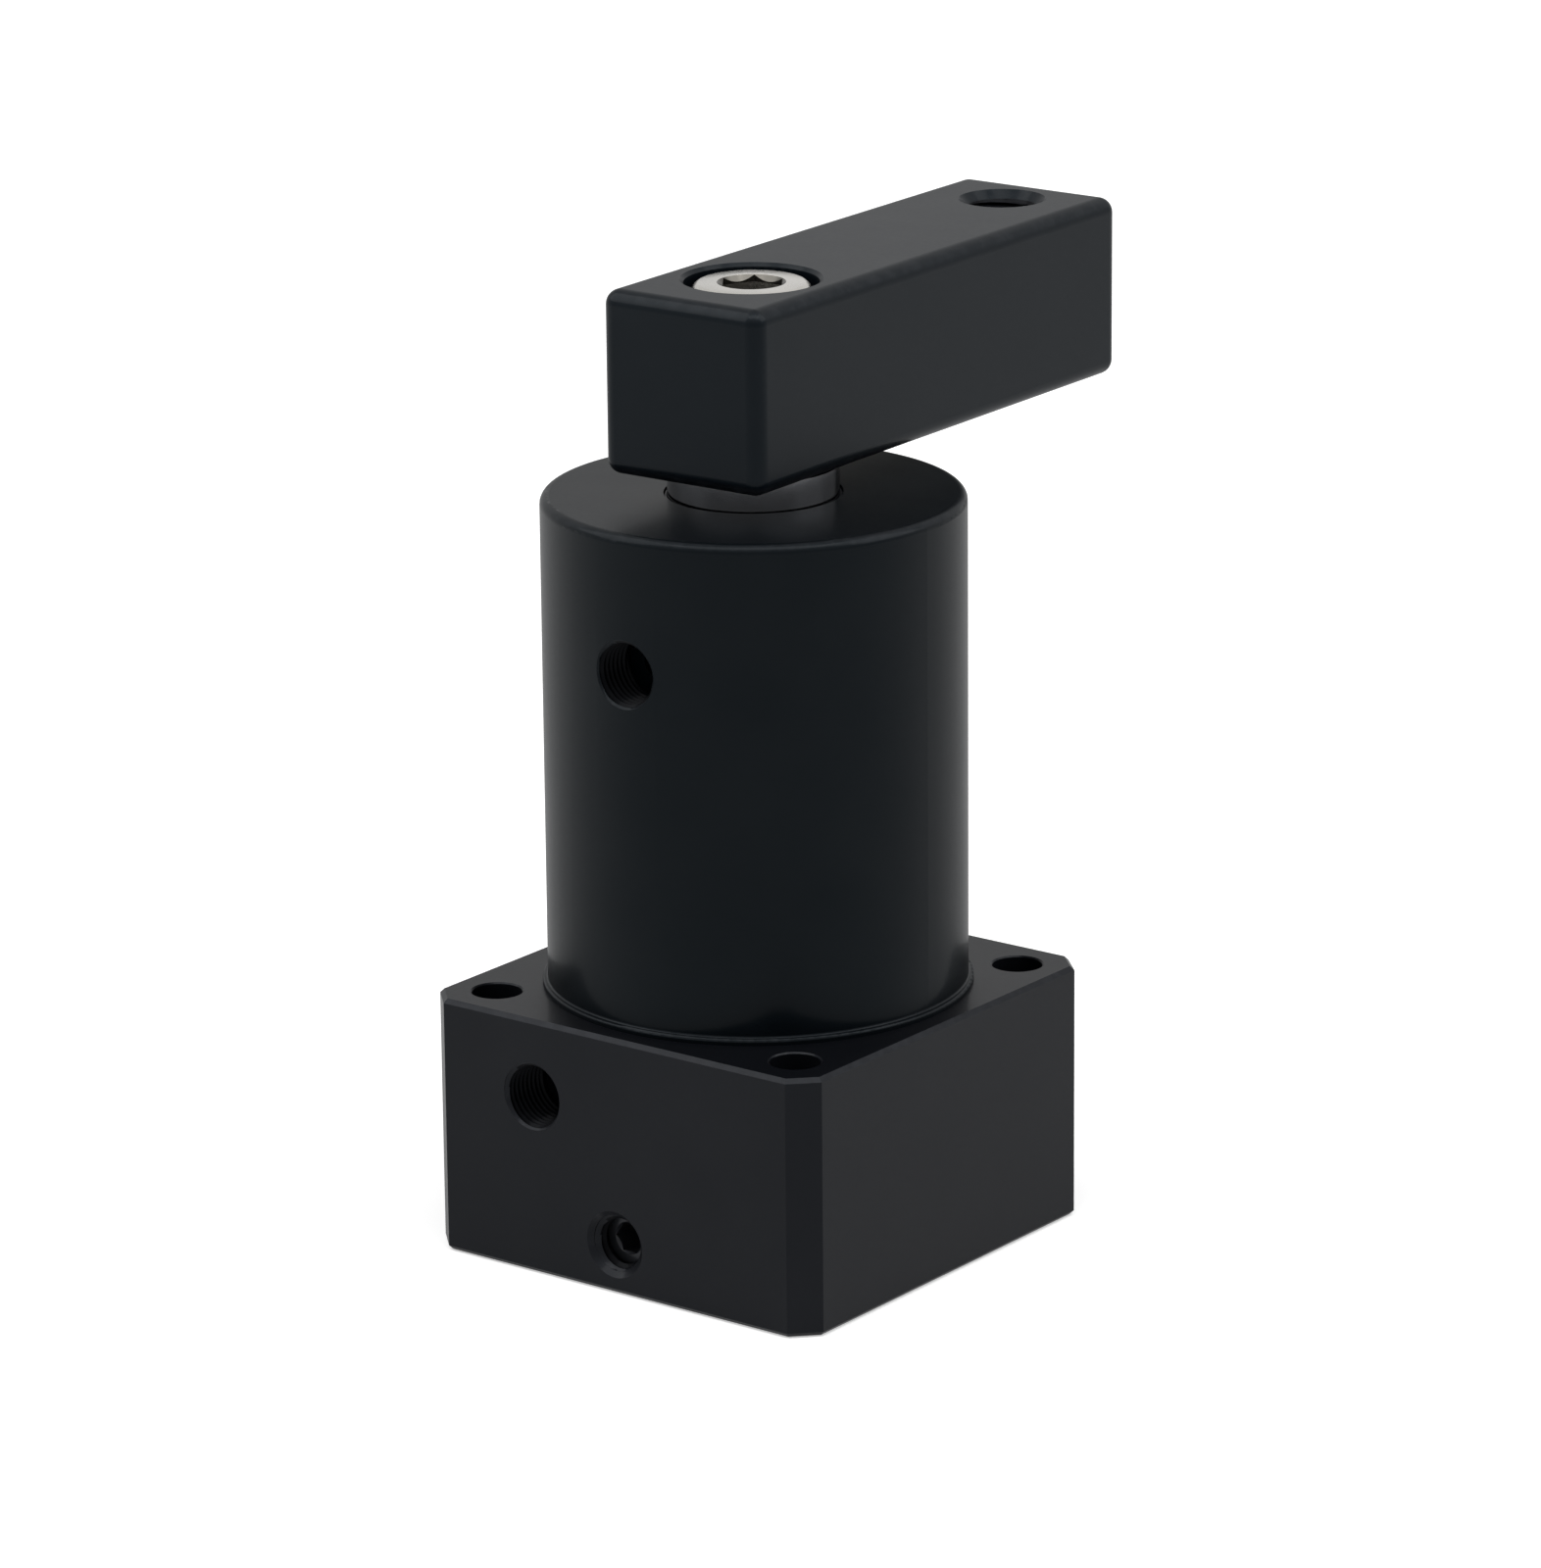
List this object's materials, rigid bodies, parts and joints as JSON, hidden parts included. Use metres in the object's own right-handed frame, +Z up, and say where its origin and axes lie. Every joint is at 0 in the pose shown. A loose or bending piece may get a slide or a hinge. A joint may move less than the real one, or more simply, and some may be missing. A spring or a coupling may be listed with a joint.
{
  "type": "swing clamp cylinder",
  "caption": "Hydraulic swing clamp: a round barrel on a square bolted flange block, whose rod lifts a bar-shaped clamp arm and turns it aside as it rises.",
  "frame": {"origin": "centre of the block's mounting face, on the rod's axis", "axes": "+Z up along the rod, -Y the side with both oil ports and the lock screw, +Y the side that the arm points to at rest"},
  "size_m": [0.0654, 0.1031, 0.1352],
  "materials": {
    "blackened_steel": "ground and black oxided, satin",
    "arm_steel": "machined and black oxided, satin",
    "rod_steel": "hard chromed and ground",
    "screw_steel": "stainless, bright",
    "black_screw_steel": "black oxided",
    "hardened_steel": "hardened and ground",
    "bronze": "bored and turned",
    "nitrile_rubber": "moulded",
    "polyurethane": "moulded",
    "filled_ptfe": "turned"
  },
  "bodies": {
    "housing": {"base_block": "blackened_steel", "barrel": "blackened_steel", "barrel_seal": "nitrile_rubber", "guide_shaft": "hardened_steel", "guide_shaft_seal": "nitrile_rubber", "guide_lock_screw": "black_screw_steel", "rod_bushing": "bronze", "rod_seal": "polyurethane", "rod_wiper": "polyurethane"},
    "piston": {"piston": "hardened_steel", "piston_seal": "filled_ptfe", "piston_seal_loader": "nitrile_rubber", "piston_guide_ring_lower": "filled_ptfe", "piston_guide_ring_upper": "filled_ptfe", "piston_inner_seal": "nitrile_rubber"},
    "rod": {"piston_rod": "rod_steel", "piston_nut": "hardened_steel", "nut_lock_screw": "black_screw_steel", "guide_pin_1": "hardened_steel", "guide_pin_2": "hardened_steel", "guide_pin_3": "hardened_steel", "clamp_arm": "arm_steel", "arm_screw": "screw_steel"}
  },
  "joints": [
    {"name": "rod_stroke", "type": "slide", "parent": "housing", "child": "piston", "axis": [0, 0, 1], "range_m": [0, 0.028]},
    {"name": "arm_swing", "type": "hinge", "parent": "piston", "child": "rod", "pos_m": [0, 0, 0.06], "axis": [0, 0, -1], "range_deg": [0, 90]}
  ],
  "couplings": [
    {"joint": "arm_swing", "follows": "rod_stroke", "rad_per_m": 56.1}
  ]
}
